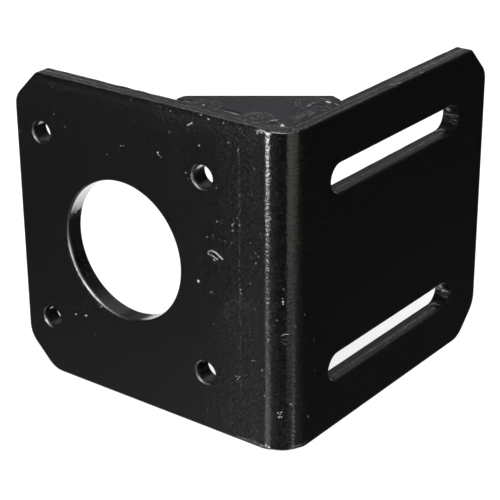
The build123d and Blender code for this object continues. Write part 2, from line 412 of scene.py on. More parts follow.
# small marks on the outer face, in flat coordinates: u, v, radius, height, how pale
DOTS = [
    (7.45, 17.38, 0.15, 0.12, 0.9), (7.62, 17.05, 0.12, 0.08, 0.7), (7.95, 16.8, 0.12, 0.04, 0.25), (16.84, 24.42, 0.16, 0.10, 0.8), (15.11, 20.18, 0.13, 0.09, 0.7),
    (20.25, 21.7, 0.14, 0.07, 0.45), (24.7, 18.9, 0.12, 0.07, 0.45), (19.45, 24.36, 0.14, 0.05, 0.35), (15.43, 24.72, 0.10, 0.05, 0.5),
    (10.02, 24.18, 0.12, 0.05, 0.4), (9.45, 24.5, 0.12, 0.05, 0.3), (8.16, 24.42, 0.11, 0.05, 0.3), (7.5, 24.5, 0.10, 0.04, 0.2),
    (21.8, 20.84, 0.16, 0.05, 0.2), (20.77, 9.55, 0.13, 0.08, 0.6), (21.0, 9.86, 0.12, 0.06, 0.3), (20.82, 8.73, 0.13, 0.08, 0.55),
    (22.07, 9.82, 0.12, 0.07, 0.45), (21.64, 10.84, 0.14, 0.05, 0.15), (14.45, -0.86, 0.24, 0.12, 0.9), (16.8, -1.95, 0.16, 0.07, 0.4),
    (17.1, -7.07, 0.15, 0.04, 0.12), (25.86, -11.77, 0.14, 0.08, 0.45), (26.3, -15.8, 0.15, 0.08, 0.4), (21.84, -9.34, 0.13, 0.05, 0.2),
    (15.66, -21.7, 0.15, 0.05, 0.15), (6.6, -19.0, 0.13, 0.04, 0.1), (24.9, -22.2, 0.13, 0.05, 0.15), (23.9, 1.41, 0.13, 0.06, 0.3),
    (12.5, 15.5, 0.15, 0.06, 0.3), (12.9, 14.7, 0.12, 0.05, 0.18), (18.0, 9.36, 0.2, 0.05, 0.14), (16.2, 6.64, 0.14, 0.05, 0.18),
    (19.4, 6.75, 0.12, 0.05, 0.15), (20.6, 6.8, 0.12, 0.05, 0.15), (24.8, 6.3, 0.12, 0.06, 0.25), (25.25, 5.95, 0.11, 0.05, 0.2),
    (24.8, 4.75, 0.12, 0.06, 0.3), (23.9, 7.6, 0.12, 0.05, 0.15), (24.1, 5.4, 0.12, 0.05, 0.2), (18.0, 14.5, 0.13, 0.04, 0.1),
    (22.13, -0.05, 0.11, 0.07, 0.6), (22.13, -0.6, 0.11, 0.07, 0.6), (21.35, -14.2, 0.12, 0.06, 0.3), (21.75, -14.25, 0.13, 0.07, 0.45),
    (21.45, -14.65, 0.13, 0.07, 0.45), (21.1, -14.35, 0.10, 0.05, 0.25), (24.7, -2.4, 0.12, 0.05, 0.2), (-12.8, 23.16, 0.13, 0.05, 0.12),
    (-12.75, 18.95, 0.12, 0.06, 0.25), (-10.6, 17.4, 0.13, 0.05, 0.16), (0.43, 16.86, 0.14, 0.07, 0.4), (-2.4, 14.9, 0.14, 0.06, 0.3),
    (-1.85, 15.3, 0.11, 0.04, 0.12), (2.64, 24.3, 0.15, 0.04, 0.14), (3.2, 21.3, 0.15, 0.04, 0.1), (-8.5, 24.5, 0.13, 0.04, 0.12),
    (-20.0, 14.7, 0.12, 0.06, 0.3), (-4.95, -10.6, 0.16, 0.07, 0.5), (-5.5, -10.35, 0.12, 0.05, 0.3), (-6.43, -15.7, 0.14, 0.05, 0.2), (-7.5, -11.2, 0.13, 0.04, 0.1), (-4.3, -22.4, 0.15, 0.04, 0.1),
    # fold and slotted plate
    (29.15, -0.35, 0.15, 0.10, 0.9), (29.15, -0.7, 0.12, 0.07, 0.7), (29.1, 0.15, 0.11, 0.07, 0.45), (29.2, 1.6, 0.13, 0.06, 0.35), (28.35, -3.25, 0.12, 0.05, 0.3),
    (27.95, -4.1, 0.10, 0.04, 0.15), (29.7, -7.9, 0.12, 0.05, 0.2), (32.6, -3.0, 0.14, 0.07, 0.3), (30.3, -16.8, 0.14, 0.08, 0.6), (30.5, -16.98, 0.12, 0.06, 0.5),
    (28.45, -18.15, 0.13, 0.10, 0.75), (28.95, -18.05, 0.13, 0.10, 0.75), (28.75, -18.4, 0.12, 0.08, 0.6), (28.6, -18.85, 0.14, 0.10, 0.85), (28.95, -18.8, 0.13, 0.10, 0.8), (32.75, -18.5, 0.12, 0.04, 0.12), (33.6, -19.9, 0.2, 0.07, 0.3),
    (35.2, -13.0, 0.15, 0.06, 0.25), (34.9, -7.9, 0.18, 0.04, 0.06), (27.35, 12.1, 0.13, 0.06, 0.6), (31.4, 8.4, 0.14, 0.03, 0.10),
    (31.75, 8.2, 0.12, 0.03, 0.06), (31.5, -6.5, 0.13, 0.03, 0.06), (33.9, -20.3, 0.12, 0.04, 0.08),
]
# scratches, chips and painted highlights drawn through points: points, half width, height, how pale
STROKES = [
    ([(13.05, 22.7), (13.45, 22.95), (13.9, 23.25)], 0.06, 0.06, 0.75),
    ([(16.4, 4.36), (16.95, 4.64), (17.6, 4.6), (18.3, 4.2), (18.9, 3.85)], 0.11, 0.06, 0.42),
    ([(17.1, 4.66), (17.9, 4.46), (18.85, 3.88)], 0.07, 0.03, 0.55),
    ([(16.35, 4.0), (16.95, 3.88), (17.3, 3.8), (17.95, 3.5)], 0.11, 0.05, 0.28),
    ([(24.0, -10.8), (24.5, -10.62)], 0.05, 0.04, 0.4),
    ([(-10.5, -13.53), (-10.2, -13.45)], 0.075, 0.06, 0.75),
    ([(-8.35, -13.13), (-8.08, -13.05)], 0.085, 0.06, 0.85),
    # pale along the lower edge, most beside the fold: paint rubbed thinner, and painted highlights where the fold's two
    # highlights flare at its foot
    ([(18.0, -24.4), (20.5, -24.35), (22.7, -24.32)], 0.13, 0.01, 0.10), ([(21.5, -24.35), (24.0, -24.25), (25.9, -24.22)], 0.20, 0.01, 0.19),
    ([(25.6, -24.3), (26.4, -24.2), (27.2, -24.25)], 0.15, 0.02, 0.30), ([(26.5, -24.0), (27.0, -23.8)], 0.14, 0.02, 0.22),
    ([(30.5, -23.9), (31.2, -24.0), (31.9, -24.0)], 0.10, 0.02, 0.26), ([(31.8, -24.02), (32.6, -24.05), (33.4, -24.1)], 0.09, 0.02, 0.19),
    ([(0.45, 16.86), (0.95, 17.0)], 0.07, 0.03, 0.2),
    ([(29.0, -5.65), (29.4, -5.42), (29.95, -5.48)], 0.055, 0.06, 0.55), ([(29.15, -6.2), (29.6, -6.35)], 0.06, 0.04, 0.2),
    ([(28.9, -6.6), (29.3, -6.9), (29.7, -7.1)], 0.06, 0.04, 0.15),
    # top of the fold: small chips at its left end, then painted highlights: the flare of the fold's highlight and a
    # bright line along its top rim
    ([(25.1, 24.2), (25.35, 24.5), (25.25, 24.7)], 0.05, 0.05, 0.7), ([(25.5, 24.72), (26.0, 24.66), (26.4, 24.7)], 0.06, 0.05, 0.75),
    ([(25.15, 24.0), (25.4, 24.15)], 0.04, 0.03, 0.4), ([(25.7, 24.4), (26.1, 24.3)], 0.04, 0.03, 0.35),
    ([(26.6, 24.5), (27.35, 24.48)], 0.12, 0.02, 0.75), ([(26.75, 24.2), (27.2, 24.18)], 0.10, 0.02, 0.5),
    ([(27.4, 24.72), (28.2, 24.7)], 0.06, 0.01, 0.5), ([(28.5, 24.7), (29.6, 24.7)], 0.06, 0.01, 0.6), ([(29.8, 24.7), (30.6, 24.71), (31.2, 24.76)], 0.055, 0.01, 0.5),
    ([(9.6, 20.9), (9.8, 21.1)], 0.06, 0.03, 0.2),
    ([(17.3, 3.35), (17.6, 3.2)], 0.08, 0.03, 0.15),
]


# painted highlights on the rims of the bore and the screw holes, pale by angle round the rim: centre, radius, then how
# pale by angle
RIM_HIGHLIGHTS = [
    (0, 0, 11.05, [(150, 0), (160, 0.02), (174, 0.07), (182, 0.14), (188, 0.45), (192, 0.80), (198, 0.68), (204, 0.75), (210, 0.70), (216, 0.52), (222, 0.78), (228, 0.95), (234, 0.76), (240, 0.62), (246, 0.36), (252, 0.24), (258, 0.11), (266, 0.10), (275, 0.03), (285, 0)]),
    (15.5, 15.5, 1.75, [(140, 0), (165, 0.06), (180, 0.12), (195, 0.25), (210, 0.08), (225, 0.34), (240, 0.25), (255, 0.20), (270, 0.07), (285, 0.04), (310, 0)]),
    (15.5, -15.5, 1.75, [(100, 0), (120, 0.26), (135, 0.14), (150, 0.07), (180, 0.04), (195, 0.14), (210, 0.14), (225, 0.24), (240, 0.20), (255, 0.22), (270, 0.11), (285, 0.09), (305, 0)]),
    (-15.5, 15.5, 1.70, [(135, 0), (165, 0.03), (180, 0.08), (195, 0.26), (210, 0.38), (225, 0.22), (240, 0.08), (255, 0.03), (290, 0.02), (310, 0)]),
    (-15.5, -15.5, 1.70, [(140, 0), (165, 0.04), (182, 0.03), (195, 0.16), (210, 0.85), (225, 0.52), (240, 0.14), (255, 0.08), (275, 0.02), (290, 0)]),
]


def marks(u, v, what):
    """what 0: heights of the marks in mm; 1: how pale they are, the painted highlights on the hole rims and at the
    fold's ends included.
    """
    out = np.zeros(np.broadcast(u, v).shape)
    for cu, cv, r, h, pale in DOTS:
        r = 0.64 * r
        sel = (np.abs(u - cu) < 4 * r) & (np.abs(v - cv) < 4 * r)
        if sel.any():
            q = np.exp(-((u[sel] - cu) ** 2 + (v[sel] - cv) ** 2) / (r * r))
            out[sel] += h * q if what == 0 else pale**1.8 * np.clip(1.5 * q, 0, 1)
    for pts, r, h, pale in STROKES:
        lo_u, hi_u = min(p[0] for p in pts) - 4 * r, max(p[0] for p in pts) + 4 * r
        lo_v, hi_v = min(p[1] for p in pts) - 4 * r, max(p[1] for p in pts) + 4 * r
        sel = (u > lo_u) & (u < hi_u) & (v > lo_v) & (v < hi_v)
        if sel.any():
            q = stroke_at(u[sel], v[sel], pts, r, 1.0)
            q = q * (0.75 + 0.25 * noise2(u[sel] / 0.15, v[sel] / 0.15, 77))
            out[sel] += h * q if what == 0 else pale**1.8 * np.clip(1.5 * q, 0, 1)
    if what == 1:
        # painted highlights round the hole rims, by angle
        for cu, cv, r, table in RIM_HIGHLIGHTS:
            d = np.hypot(u - cu, v - cv)
            sel = np.abs(d - r - 0.12) < 0.4
            th = np.degrees(np.arctan2(v[sel] - cv, u[sel] - cu)) % 360
            k = np.interp(th, [q[0] for q in table], [q[1] for q in table], 0, 0)
            out[sel] += k * np.exp(-(((d[sel] - r - 0.12) / 0.09) ** 2)) * (0.85 + 0.3 * noise2(th * r / 57 / 0.5, th * 0, 83))
    return out


# short pale lines on the cut edges, and the two painted glints at the slots' far ends (radius 0.24), in flat
# coordinates and depth: from, to, radius, how pale
WALL_STROKES = [
    ((73.27, 15.77, 1.85), (73.25, 15.85, 1.95), 0.24, 1.0), ((70.3, 12.8, 1.35), (71.8, 12.85, 1.5), 0.10, 0.16),
    ((73.3, 14.32, 1.13), (73.25, 14.18, 0.3), 0.10, 0.06), ((73.1, 13.88, 1.53), (73.0, 13.74, 0.4), 0.10, 0.06),
    ((73.38, -14.65, 1.85), (73.36, -14.55, 1.95), 0.24, 1.0), ((73.16, -16.02, 1.76), (73.09, -16.14, 0.4), 0.10, 0.10),
    ((71.8, -17.16, 2.2), (71.76, -17.17, 1.05), 0.12, 0.10), ((70.9, 12.75, 2.65), (71.9, 12.9, 2.05), 0.15, 0.34), ((71.0, -17.22, 2.6), (71.9, -17.1, 2.0), 0.18, 0.16),
    ((54.75, 24.85, 1.0), (55.3, 24.85, 0.55), 0.16, 0.16), ((55.9, 24.85, 0.75), (56.3, 24.85, 0.40), 0.15, 0.18), ((56.5, 24.85, 0.6), (56.9, 24.85, 0.3), 0.12, 0.14),
    ((45.6, 24.85, 0.35), (46.6, 24.85, 0.35), 0.10, 0.10), ((62.3, 24.85, 0.45), (62.6, 24.85, 0.4), 0.12, 0.30), ((66.5, 24.85, 1.2), (67.4, 24.85, 1.0), 0.12, 0.08),
]


def wall_marks_and_glints(q):
    out = np.zeros(len(q))
    for a, b, r, k in WALL_STROKES:
        a, b = np.array(a), np.array(b)
        sel = np.abs(q - (a + b) / 2).max(1) < np.abs(b - a).max() + 3 * r
        d = q[sel] - a
        f = np.clip(d @ (b - a) / ((b - a) @ (b - a)), 0, 1)
        out[sel] += k * np.exp(-((np.linalg.norm(d - f[:, None] * (b - a), axis=1) / r) ** 2))
    return out


grids = [
    hex_grid(X_FREE, U_BEND - 0.3, Z_BOT, Z_TOP, 0.62),
    hex_grid(U_FLAT2 + 0.3, U_END, Z_BOT, Z_TOP, 0.62),
]
cols = np.linspace(U_BEND, U_FLAT2, 25)
rows_z = np.arange(Z_BOT + 0.6, Z_TOP - 0.5, 0.5)
grids.append(np.stack(np.meshgrid(cols, rows_z), -1).reshape(-1, 2))
for cu, cv, r, h, pale in DOTS:
    grids.append(disc_grid(cu + 0.003, cv + 0.002, 1.7 * r, r / 3.2))
for pts, r, h, pale in STROKES:
    (ua, va), (ub, vb) = pts[0], pts[-1]
    g = hex_grid(min(p[0] for p in pts) - 3 * r, max(p[0] for p in pts) + 3 * r, min(p[1] for p in pts) - 3 * r, max(p[1] for p in pts) + 3 * r, r / 2.2)
    grids.append(g[stroke_at(g[:, 0], g[:, 1], pts, r, 1.0) > 0.01])
# the press line, and the rough ends of the fold
grids.append(hex_grid(21.3, 22.7, Z_BOT + 0.5, Z_TOP - 0.45, 0.16))
grids.append(hex_grid(19.5, 33.5, Z_BOT + 0.42, Z_BOT + 1.5, 0.13))
grids.append(hex_grid(24.5, 33.5, Z_TOP - 1.2, Z_TOP - 0.42, 0.13))
# the inner face is plain, so its grid is coarser
inner_grid = np.concatenate(
    [
        hex_grid(X_FREE, U_BEND - 0.3, Z_BOT, Z_TOP, 0.8),
        hex_grid(U_FLAT2 + 0.3, U_END, Z_BOT, Z_TOP, 0.8),
        np.stack(np.meshgrid(cols, np.arange(Z_BOT + 0.6, Z_TOP - 0.5, 1.0)), -1).reshape(-1, 2),
    ]
)


def press_line(v):
    return 21.85 + 0.3 * smooth(24.0 - v, 0, 15)


def rise_outer(u, v):
    """Dents, specks and the press line on the outer face."""
    h = 0.005 * fbm(u / 7.0, v / 7.0, 3)
    lump = np.clip(0.5 + 0.9 * noise2(u * 0, v / 0.3, 5), 0, 1.3) * (0.8 + 0.4 * noise2(u * 0, v / 2.0, 6))
    h = h + 0.020 * (1 - 0.4 * smooth(v, 12.0, 16.0)) * np.exp(-(((u - press_line(v)) / 0.2) ** 2)) * lump * (0.25 + 0.75 * smooth(v, 6.0, 15.0))
    # drawn outwards at both ends of the fold
    near = smooth(u, 24.9, 26.0) * smooth(-u, -29.5, -27.8)
    h = h - 0.018 * smooth(v, 23.5, 24.9) ** 2 * near + 0.05 * smooth(-v, 23.0, 24.9) ** 2 * near
    h = h - 0.06 * np.exp(-(((u - 32.3) / 0.7) ** 2 + ((v - 24.5) / 0.3) ** 2))
    # where the fold was pressed, its two ends are drawn up and roughened
    end_low = smooth(u, 19.5, 22.5) * smooth(-u, -33.5, -31.5) * smooth(-v, 23.2, 24.2)
    end_top = smooth(u, 24.3, 25.6) * smooth(-u, -33.0, -31.0) * smooth(v, 23.9, 24.5)
    h = h + (0.020 * end_low + 0.014 * end_top) * fbm(u / 0.45, v / 0.30, 9, 2)
    return h + marks(u, v, 0)


def rise_inner(u, v):
    return 0.006 * fbm(u / 7.0, v / 7.0, 31)


def step_at(x, a, soft):
    return 0.5 * (1 + np.tanh((x - a) / soft))


def rise_sheet_wall(li, s, w, u, v):
    """Sheared and painted cut edges: long bands, short nicks and a rolled inner rim."""
    a = noise2(s / 2.2, w / 0.32, 40 + li)
    b = noise2(s / 0.6 + w / 0.5, w / 0.35, 60 + li)
    if 1 <= li <= 5:
        return 0.006 * a + 0.003 * b
    patch_s = 0.6 + 0.8 * noise2(s / 1.7, w / 1.4, 44 + li)
    if li == 0:
        motor = smooth(-u, -29.0, -25.5)
        up = 0.020 * step_at(w, 0.48, 0.12) + 0.060 * patch_s * step_at(w, 1.7, 0.34) - 0.045 * step_at(w, 2.5, 0.14)
        side = 0.030 * step_at(w, 1.25, 0.22) * (0.6 + patch_s) - 0.035 * step_at(w, 1.75, 0.2) + 0.012 * step_at(w, 0.45, 0.12)
        nick = sum(bump_at(u, w, U_FLAT2 - BEND_Y + y, X_OUT - x, 0.16, 0.05, 2.4, 0.9) for x, y in ((29.5, 26.0), (29.75, 26.4), (29.9, 27.0), (29.4, 25.2), (29.8, 28.0)))
        knot = bump_at(u, w, 8.4, 0.45, 0.22, 0.05) + bump_at(u, w, 5.5, 0.45, 0.2, 0.03)
        for cu, ww in ((-3.6, 1.55), (-6.3, 1.4), (-8.4, 1.5), (-10.7, 1.4), (-12.4, 1.5)):
            knot = knot + bump_at(u, w, cu, ww, 0.42, 0.045)
        top = smooth(v, 20.0, 22.0)
        h = motor * up + (1 - motor) * (side + top * nick) + top * motor * knot
        return h + 0.012 * a + 0.006 * b
    # slots
    knob = sum(bump_at(v, w, cv, 1.9, 0.2, 0.10) for cv in (15.81, -14.6)) * (u > 73.0)
    return knob + 0.030 * step_at(w, 1.3, 0.22) * patch_s - 0.03 * step_at(w, 1.8, 0.2) + 0.006 * a + 0.004 * b


sheet = make_plate("bracket_sheet", sheet_loops, T, place_sheet, np.concatenate(grids), rise_outer, rise_inner, rise_sheet_wall, rows=13, mark=marks, grid_in=inner_grid)


# ---- gussets ----
def gusset_place(z, sign):
    def place(u, v, w):
        u, v, w = np.broadcast_arrays(np.asarray(u, float), np.asarray(v, float), np.asarray(w, float))
        pos = np.stack([u, v, z - sign * w], -1)
        one, zero = np.ones_like(u), np.zeros_like(u)
        return pos, np.stack([one, zero, zero], -1), np.stack([zero, one, zero], -1), np.stack([zero, zero, sign * one], -1)

    return place


gusset_pts = [(26.0, 3.0), (27.6, 4.6), (27.6, 16.78), (25.6, 17.7), (8.25, 5.0), (8.25, 3.0)]
gusset_radii = [0.6, 0.6, 0.56, 0.75, 1.5, 0.6]


def gusset(name, z, sign, seed):
    L = polygon_loop(gusset_pts, gusset_radii, step=0.3, curve=0.14)
    L["r"] = 0.5

    def rise(u, v):
        """Rolled down a little along the sheared long edge, with faint drawn lines."""
        from_edge = (0.732 * (u - 8.25) - (v - 5.0)) / 1.2393
        h = 0.010 * fbm(u / 3.0, v / 3.0, seed) + 0.004 * fbm((u + 0.8 * v) / 0.5, (v - 0.8 * u) / 2.2, seed + 2, 2)
        h = h - 0.085 * (1 - smooth(from_edge, 0.2, 1.9))
        if sign > 0:
            h = h + stroke_at(u, v, [(24.93, 3.6), (25.44, 4.06)], 0.28, 0.10)
        return h

    under = lambda u, v: 0.008 * fbm(u / 4.0, v / 4.0, seed + 3)
    wall = lambda li, s, w, u, v: 0.012 * noise2(s / 2.0, w / 0.3, seed + 5)
    # a painted glint: pale colour on the small ridge at the upper gusset's corner
    pale = (lambda u, v, what: 0.24 * np.clip(1.5 * stroke_at(u, v, [(25.0, 3.65), (25.4, 4.05)], 0.2, 1.0), 0, 1)) if sign > 0 else None
    return make_plate(name, [L], 3.0, gusset_place(z, sign), hex_grid(8, 28, 3, 18, 0.16 if sign > 0 else 0.32), rise, under, wall, mark=pale)


gusset_up = gusset("gusset_upper", Z_TOP, 1, 70)
gusset_low = gusset("gusset_lower", Z_BOT, -1, 90)


# ---- weld puddles ----
# ridges left by the electrode on the upper spots: points, half width, height
RIDGES = [
    # first spot
    ([(11.2, 3.2), (11.35, 4.05), (11.96, 4.77), (12.96, 5.24), (14.13, 5.28), (15.25, 4.94), (15.85, 4.35), (16.05, 3.6), (16.0, 2.9), (15.75, 2.25), (15.25, 1.7), (14.3, 1.15), (13.2, 0.95), (12.2, 1.25), (11.5, 2.0), (11.2, 3.2)], 0.15, 0.045),
    ([(11.9, 2.2), (11.95, 3.28), (12.5, 4.09), (13.36, 4.52), (14.1, 4.4), (14.6, 3.9)], 0.15, 0.045),
    ([(12.5, 1.7), (13.3, 1.9), (13.9, 2.2), (14.44, 2.74), (14.65, 3.5)], 0.14, 0.035),
    ([(13.3, 3.4), (13.5, 3.1), (13.65, 2.8)], 0.16, 0.10),
    # second spot
    ([(20.3, 3.3), (20.51, 4.42), (21.15, 5.25), (22.19, 5.62), (23.29, 5.5), (24.4, 4.8), (24.9, 4.0), (24.8, 2.9), (24.2, 2.0), (23.2, 1.4)], 0.17, 0.055),
    ([(21.18, 3.1), (21.3, 4.0), (21.98, 4.6), (22.93, 4.45), (23.3, 3.7), (22.95, 2.75), (22.25, 2.35)], 0.15, 0.045),
    ([(20.8, 2.9), (20.9, 4.2), (21.5, 4.95), (22.4, 5.1), (23.3, 4.9), (24.0, 4.2)], 0.13, 0.03),
    ([(22.1, 3.05), (22.3, 2.8)], 0.2, 0.08),
    ([(22.25, 4.05), (22.6, 3.8)], 0.18, 0.06),
    # third spot
    ([(26.75, 3.9), (26.4, 3.2), (26.42, 2.4), (26.88, 1.57), (27.64, 0.96), (28.49, 0.7), (29.3, 0.95)], 0.15, 0.07),
    ([(27.1, 3.2), (27.05, 2.3), (27.6, 1.6), (28.4, 1.4), (29.1, 1.6)], 0.13, 0.04),
    ([(27.25, 2.95), (27.5, 2.68), (27.75, 2.4)], 0.16, 0.17),
    ([(28.1, 2.6), (28.74, 2.95), (29.5, 2.65), (29.75, 1.95)], 0.16, 0.05),
    # fourth spot
    ([(23.1, 13.4), (22.95, 12.5), (23.0, 11.9), (23.5, 11.2), (24.33, 10.57), (25.3, 10.15), (26.4, 9.97), (27.6, 10.0)], 0.15, 0.055),
    ([(23.6, 12.9), (23.5, 12.1), (24.0, 11.4), (24.9, 10.85)], 0.13, 0.03),
    ([(23.2, 13.8), (24.1, 14.8), (25.5, 15.2), (26.6, 15.1)], 0.15, 0.04),
    ([(25.62, 10.7), (25.52, 11.7), (25.35, 12.5), (25.45, 13.0), (25.84, 13.25), (26.5, 13.3), (27.2, 13.0)], 0.17, 0.11),
    ([(26.63, 11.03), (26.72, 12.0), (27.6, 12.5), (28.66, 12.5)], 0.16, 0.06),
    ([(26.2, 14.35), (26.9, 14.35), (27.5, 14.25)], 0.16, 0.13),
    ([(28.0, 14.45), (28.8, 14.15)], 0.14, 0.08),
    ([(25.2, 14.0), (25.8, 14.5), (26.6, 14.75), (27.7, 14.6)], 0.13, 0.04),
    ([(28.9, 13.9), (29.3, 13.0), (29.4, 12.0), (29.1, 10.9)], 0.15, 0.05),
    ([(26.9, 10.2), (27.3, 10.7), (27.9, 10.9), (28.5, 11.6)], 0.13, 0.05),
]
HOLLOWS = [(13.9, 3.3, 0.75, 0.07), (12.7, 2.9, 0.55, 0.05), (14.0, 1.6, 0.6, 0.05), (22.7, 3.4, 0.5, 0.05), (27.7, 2.1, 0.4, 0.05), (26.2, 12.0, 0.5, 0.05), (27.2, 13.6, 0.5, 0.05), (24.6, 12.6, 0.5, 0.05)]
# painted glints: pale colour standing in for the shine on a few weld crests: points, half width, how pale
GLINTS = [
    ([(27.36, 2.8), (27.5, 2.68), (27.63, 2.55)], 0.20, 0.85),
    ([(26.6, 14.33), (27.3, 14.28)], 0.10, 0.80),
    ([(13.4, 3.25), (13.6, 2.95)], 0.14, 0.36),
    ([(25.58, 11.2), (25.52, 11.9)], 0.13, 0.20),
    ([(25.4, 12.5), (25.55, 12.9)], 0.10, 0.10),
    ([(28.15, 14.4), (28.75, 14.2)], 0.10, 0.30),
    ([(22.15, 2.95), (22.3, 2.8)], 0.12, 0.12),
    ([(22.3, 4.0), (22.6, 3.85)], 0.12, 0.08),
    ([(11.2, 1.0), (12.0, 0.9), (13.3, 0.85)], 0.14, 0.05),
]


def weld_relief(x, y, seed, rough):
    h = rough * fbm(x / 0.55, y / 0.55, seed, 2) + 0.5 * rough * noise2(x / 0.22, y / 0.22, seed + 3)
    for pts, r, a in RIDGES:
        h = h + stroke_at(x, y, pts, r, a)
    for cx, cy, r, a in HOLLOWS:
        h = h - bump_at(x, y, cx, cy, r, a)
    return h


def weld_painted_highlights(x, y, what):
    """Painted highlights: pale colour along the ridge crests and on the joint strips, painted glints on a few crests,
    and paler streaks on the corner seam.
    """
    spots = np.max([k * np.clip(1.6 * stroke_at(x, y, pts, r, 1.0), 0, 1) for pts, r, k in GLINTS], axis=0)
    crest_highlight = np.max([stroke_at(x, y, pts, 0.8 * r, 1.0) for pts, r, k in RIDGES], axis=0)
    crest_highlight = np.where((x > 25.9) & (y < 5), 0.12, np.where(y > 9, 0.07, 0.11)) * crest_highlight * (0.65 + 0.5 * noise2(x / 0.4, y / 0.4, 501))
    # painted highlight on the joint strips
    strip = smooth(y, 3.0, 3.12) * smooth(-y, -3.44, -3.32) * np.maximum(smooth(x, 9.7, 10.0) * smooth(-x, -11.6, -11.3), smooth(x, 16.2, 16.5) * smooth(-x, -20.2, -19.9))
    strip = strip * np.clip(0.17 + 0.14 * noise2(x / 0.6, y / 0.5, 507), 0.03, 1)
    lump = smooth(x, 26.3, 27.0) * smooth(-x, -28.4, -27.8) * smooth(y, 4.4, 5.4) * smooth(-y, -10.4, -9.4)
    lump = 0.09 * lump * np.clip(0.3 + fbm((x + 0.3 * y) / 0.35, y / 1.1, 511, 2), 0, 1)
    return np.maximum.reduce([spots, crest_highlight, strip, lump])


def ring_relief(cx, cy, r, seed):
    def relief(x, y, *_):
        d = np.hypot(x - cx, y - cy) / r
        return 0.012 * np.exp(-(((d - 0.5) / 0.1) ** 2)) - 0.04 * np.exp(-((d / 0.18) ** 2)) + 0.008 * fbm(x / 0.6, y / 0.6, seed)

    return relief


def skirted(top, NT, rim, z_in, flare=0.9):
    """Close an open piece of weld surface with a skirt and a floor hidden inside the metal."""
    centre = top[rim].mean(0)
    low = centre + (top[rim] - centre) * flare
    low[:, 2] = z_in
    side = top[rim] - centre
    side[:, 2] = 0
    k, n = len(top), len(rim)
    lo = k + np.arange(n)
    ln = np.roll(lo, -1)
    rn = np.roll(rim, -1)
    F = [np.stack([rim, lo, ln, rim, ln, rn], -1).reshape(-1, 3), np.stack([np.full(n, k + n), lo, ln], -1)]
    V = np.concatenate([top, low, [[centre[0], centre[1], z_in]]])
    N = np.concatenate([NT, side, [[0, 0, z_in - centre[2]]]])
    ATT = np.zeros((len(V), 6))
    ATT[:, 3] = -2
    ATT[len(top) :, 1] = 1.0
    ATT[:, 4], ATT[:, 5] = V[:, 0], V[:, 1]
    return V, F, N, ATT


def puddle(cx, cy, r, z, sign, rise, relief, seed):
    """One weld spot: a low crowned disc with its own relief, its uneven rim let into the surface."""
    NR, NA = 60, 180
    aa = np.arange(NA) * 2 * math.pi / NA
    R, A = np.meshgrid(np.linspace(0, 1, NR + 1)[1:], aa, indexing="ij")
    edge = lambda a: r * (1 + 0.05 * noise2(np.cos(a) * 1.6 + 3, np.sin(a) * 1.6, seed) + 0.025 * noise2(np.cos(a) * 4, np.sin(a) * 4, seed + 1))

    def height(x, y):
        q = np.hypot(x, y) / edge(np.arctan2(y, x))
        fade = 1 - smooth(q, 0.86, 1.0)
        return np.minimum(rise * (1 - q**4) - 0.07 * q**10 + relief(cx + x, cy + y) * fade, 0.245)

    X, Y = R * edge(A) * np.cos(A), R * edge(A) * np.sin(A)
    X, Y = np.append(X.ravel(), 0), np.append(Y.ravel(), 0)
    e = 0.012
    H = height(X, Y)
    hx = (height(X + e, Y) - height(X - e, Y)) / (2 * e)
    hy = (height(X, Y + e) - height(X, Y - e)) / (2 * e)
    H[: NR * NA].reshape(NR, NA)[-1] = -0.09
    top = np.stack([cx + X, cy + Y, z + sign * H], 1)
    NT = np.stack([-hx, -hy, np.full(len(X), float(sign))], 1)
    ids = np.arange(NR * NA).reshape(NR, NA)
    nx = np.roll(ids, -1, 1)
    V, F, N, ATT = skirted(top, NT, ids[-1], z - sign * 0.5)
    F = [np.stack([ids[:-1], ids[1:], nx[1:], ids[:-1], nx[1:], nx[:-1]], -1).reshape(-1, 3), np.stack([np.full(NA, NR * NA), ids[0], nx[0]], -1)] + F
    return V, np.concatenate(F), N, ATT


def bead(u0, u1, v0, v1, z, height, step=0.07):
    """A rectangular piece of weld surface that sinks into the metal along its border."""
    nu, nv = int((u1 - u0) / step) + 2, int((v1 - v0) / step) + 2
    U, V = np.meshgrid(np.linspace(u0, u1, nu), np.linspace(v0, v1, nv), indexing="ij")
    U, V = U.ravel(), V.ravel()
    e = 0.012
    H = height(U, V)
    hx = (height(U + e, V) - height(U - e, V)) / (2 * e)
    hy = (height(U, V + e) - height(U, V - e)) / (2 * e)
    ids = np.arange(nu * nv).reshape(nu, nv)
    rim = np.concatenate([ids[:-1, 0], ids[-1, :-1], ids[:0:-1, -1], ids[0, :0:-1]])
    top = np.stack([U, V, z + H], 1)
    W, F, N, ATT = skirted(top, np.stack([-hx, -hy, np.ones(len(U))], 1), rim, z - 0.5)
    a, b, c, d = ids[:-1, :-1], ids[1:, :-1], ids[1:, 1:], ids[:-1, 1:]
    F = [np.stack([a, b, c, a, c, d], -1).reshape(-1, 3)] + F
    return W, np.concatenate(F), N, ATT


def join(name, parts, mark=None):
    V, F, N, A, k = [], [], [], [], 0
    for v, f, n, a in parts:
        V.append(v)
        F.append(f + k)
        N.append(n)
        A.append(a)
        k += len(v)
    return write_mesh(name, np.concatenate(V), np.concatenate(F), np.concatenate(N), np.concatenate(A), mark)


SPOTS = [(13.6, 3.1, 2.75), (22.6, 3.4, 2.6), (28.0, 2.55, 2.0), (26.3, 12.4, 3.7)]
LOW_SPOTS = [(13.9, 3.2, 2.2), (22.5, 3.3, 2.3), (27.9, 2.8, 1.6), (26.4, 12.0, 2.6)]


